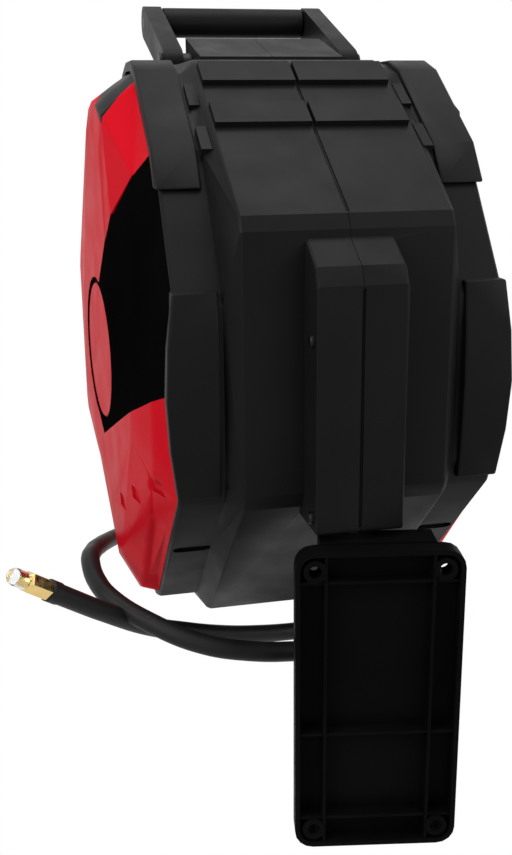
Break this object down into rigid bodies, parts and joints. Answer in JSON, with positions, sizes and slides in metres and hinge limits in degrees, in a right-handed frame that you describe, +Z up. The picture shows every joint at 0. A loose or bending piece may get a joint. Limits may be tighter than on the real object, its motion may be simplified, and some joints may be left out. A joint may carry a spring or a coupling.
{
  "type": "wall-mounted retractable hose reel",
  "caption": "Retractable air hose reel in a closed two-part case on a swivelling wall bracket, with a spring drum, ratchet, roller mouth, folding handle and free hose end.",
  "frame": {"origin": "on the wall plane, in the middle of the wall bracket's four screw holes", "axes": "+Z up along the wall, +Y from the wall into the room, +X to the right for someone who looks from the wall into the room"},
  "size_m": [0.3417, 0.5511, 0.5565],
  "materials": {
    "case_black": "satin moulded black plastic",
    "panel_dark": "smooth black plastic",
    "cover_red": "smooth red plastic",
    "zinc_steel": "zinc plated steel",
    "fitting_brass": "turned brass",
    "bush_nylon": "natural nylon",
    "hose_rubber": "matt black rubber",
    "clear_cap": "clear soft plastic"
  },
  "bodies": {
    "bracket": {"wall_bracket": "case_black", "pivot_pin": "zinc_steel", "thrust_washer": "zinc_steel"},
    "case": {"left_case_half": "case_black", "right_case_half": "case_black", "left_side_cover": "cover_red", "right_side_cover": "cover_red", "left_rear_inlay": "panel_dark", "right_rear_inlay": "panel_dark", "left_top_inlay": "case_black", "right_top_inlay": "case_black", "left_hub_cap": "cover_red", "right_hub_cap": "cover_red", "upper_pivot_bush": "bush_nylon", "lower_pivot_bush": "bush_nylon", "boss_screw_1": "zinc_steel", "boss_screw_2": "zinc_steel", "shaft": "zinc_steel", "left_shaft_nut": "zinc_steel", "right_shaft_nut": "zinc_steel", "air_inlet": "fitting_brass", "spring_arbor": "zinc_steel", "pawl_pin": "zinc_steel", "pawl_spring": "zinc_steel", "hose_guide": "case_black", "level_roller_pin_1": "zinc_steel", "level_roller_pin_2": "zinc_steel", "upright_roller_pin_1": "zinc_steel", "upright_roller_pin_2": "zinc_steel", "left_handle_pin": "zinc_steel", "right_handle_pin": "zinc_steel", "hose_lead": "hose_rubber", "free_hose": "hose_rubber", "hose_stop": "hose_rubber", "hose_ferrule": "hose_rubber", "end_fitting": "fitting_brass", "thread_cap": "clear_cap"},
    "handle": {"left_handle_arm": "case_black", "right_handle_arm": "case_black", "handle_grip": "case_black", "handle_rod": "zinc_steel"},
    "drum": {"drum_core": "case_black", "left_drum_flange": "case_black", "right_drum_flange": "case_black", "left_drum_bush": "bush_nylon", "right_drum_bush": "bush_nylon", "drum_divider": "case_black", "mainspring": "zinc_steel", "air_union": "fitting_brass", "union_nipple": "fitting_brass", "ratchet_ring": "case_black", "hose_inner_layer": "hose_rubber", "hose_winding": "hose_rubber"},
    "pawl": {"pawl": "zinc_steel"},
    "lower_level_roller": {"level_roller_1": "bush_nylon"},
    "upper_level_roller": {"level_roller_2": "bush_nylon"},
    "left_upright_roller": {"upright_roller_1": "bush_nylon"},
    "right_upright_roller": {"upright_roller_2": "bush_nylon"}
  },
  "joints": [
    {"name": "case_swivel", "type": "hinge", "parent": "bracket", "child": "case", "pos_m": [-0.016, 0.042, 0.18], "axis": [0, 0, 1], "range_deg": [-40.5, 19.5]},
    {"name": "handle_swing", "type": "hinge", "parent": "case", "child": "handle", "pos_m": [-0.05992, 0.27896, 0.401], "axis": [0.9833, 0.1822, 0], "range_deg": [0, 75]},
    {"name": "drum_spin", "type": "hinge", "parent": "case", "child": "drum", "pos_m": [-0.05372, 0.24553, 0.1875], "axis": [0.9833, 0.1822, 0], "continuous": true},
    {"name": "pawl_swing", "type": "hinge", "parent": "case", "child": "pawl", "pos_m": [0.02417, 0.30268, 0.2645], "axis": [0.9833, 0.1822, 0], "range_deg": [-15, 8], "stiffness_Nm_per_rad": 0.05},
    {"name": "lower_level_roller_spin", "type": "hinge", "parent": "case", "child": "lower_level_roller", "pos_m": [-0.08635, 0.42159, 0.0826], "axis": [0.9833, 0.1822, 0], "continuous": true},
    {"name": "upper_level_roller_spin", "type": "hinge", "parent": "case", "child": "upper_level_roller", "pos_m": [-0.08635, 0.42159, 0.1094], "axis": [0.9833, 0.1822, 0], "continuous": true},
    {"name": "left_upright_roller_spin", "type": "hinge", "parent": "case", "child": "left_upright_roller", "pos_m": [-0.10182, 0.43154, 0.096], "axis": [0, 0, 1], "continuous": true},
    {"name": "right_upright_roller_spin", "type": "hinge", "parent": "case", "child": "right_upright_roller", "pos_m": [-0.07548, 0.43643, 0.096], "axis": [0, 0, 1], "continuous": true}
  ]
}
